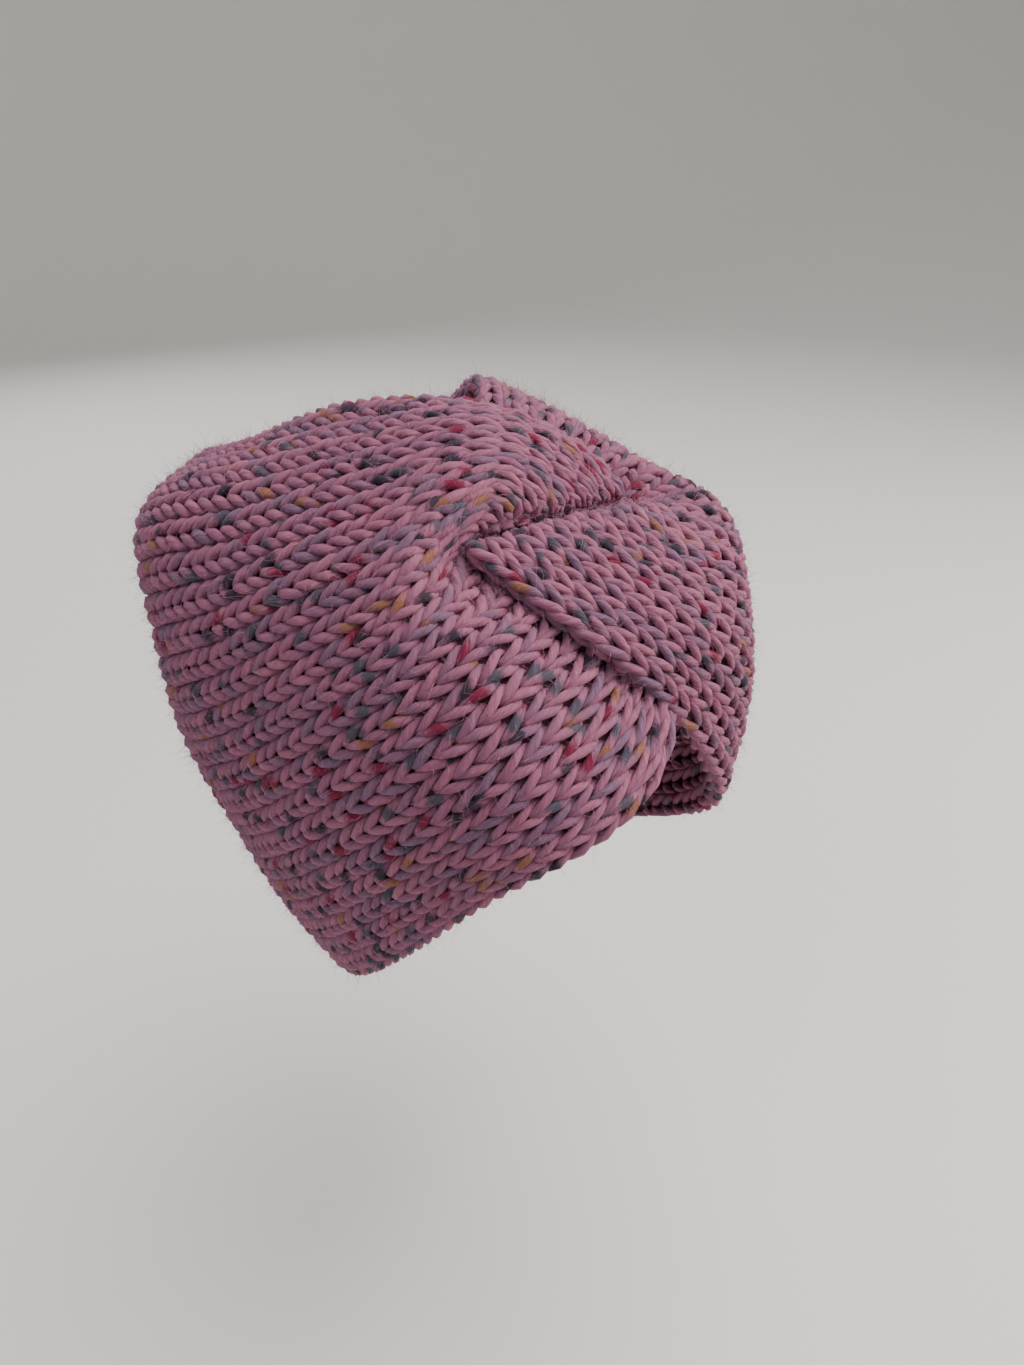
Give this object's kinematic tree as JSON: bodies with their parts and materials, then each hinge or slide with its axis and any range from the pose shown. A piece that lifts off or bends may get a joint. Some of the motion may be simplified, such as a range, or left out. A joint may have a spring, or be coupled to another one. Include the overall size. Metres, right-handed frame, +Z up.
{
  "type": "ear warmer",
  "caption": "Wide knitted band worn round the head over the ears, with its folded ends hooked through each other and sewn as a twist above the forehead.",
  "frame": {"origin": "middle of the head that wears it, between the ears", "axes": "+Z up along the wearer's head, -Y towards the forehead, -X towards the wearer's right ear"},
  "size_m": [0.1826, 0.214, 0.2493],
  "materials": {
    "pink_yarn": "soft knitted wool, speckled",
    "seam_yarn": "soft wool yarn"
  },
  "bodies": {
    "root": {"knit_band": "pink_yarn", "twist_seam": "seam_yarn"}
  },
  "joints": []
}
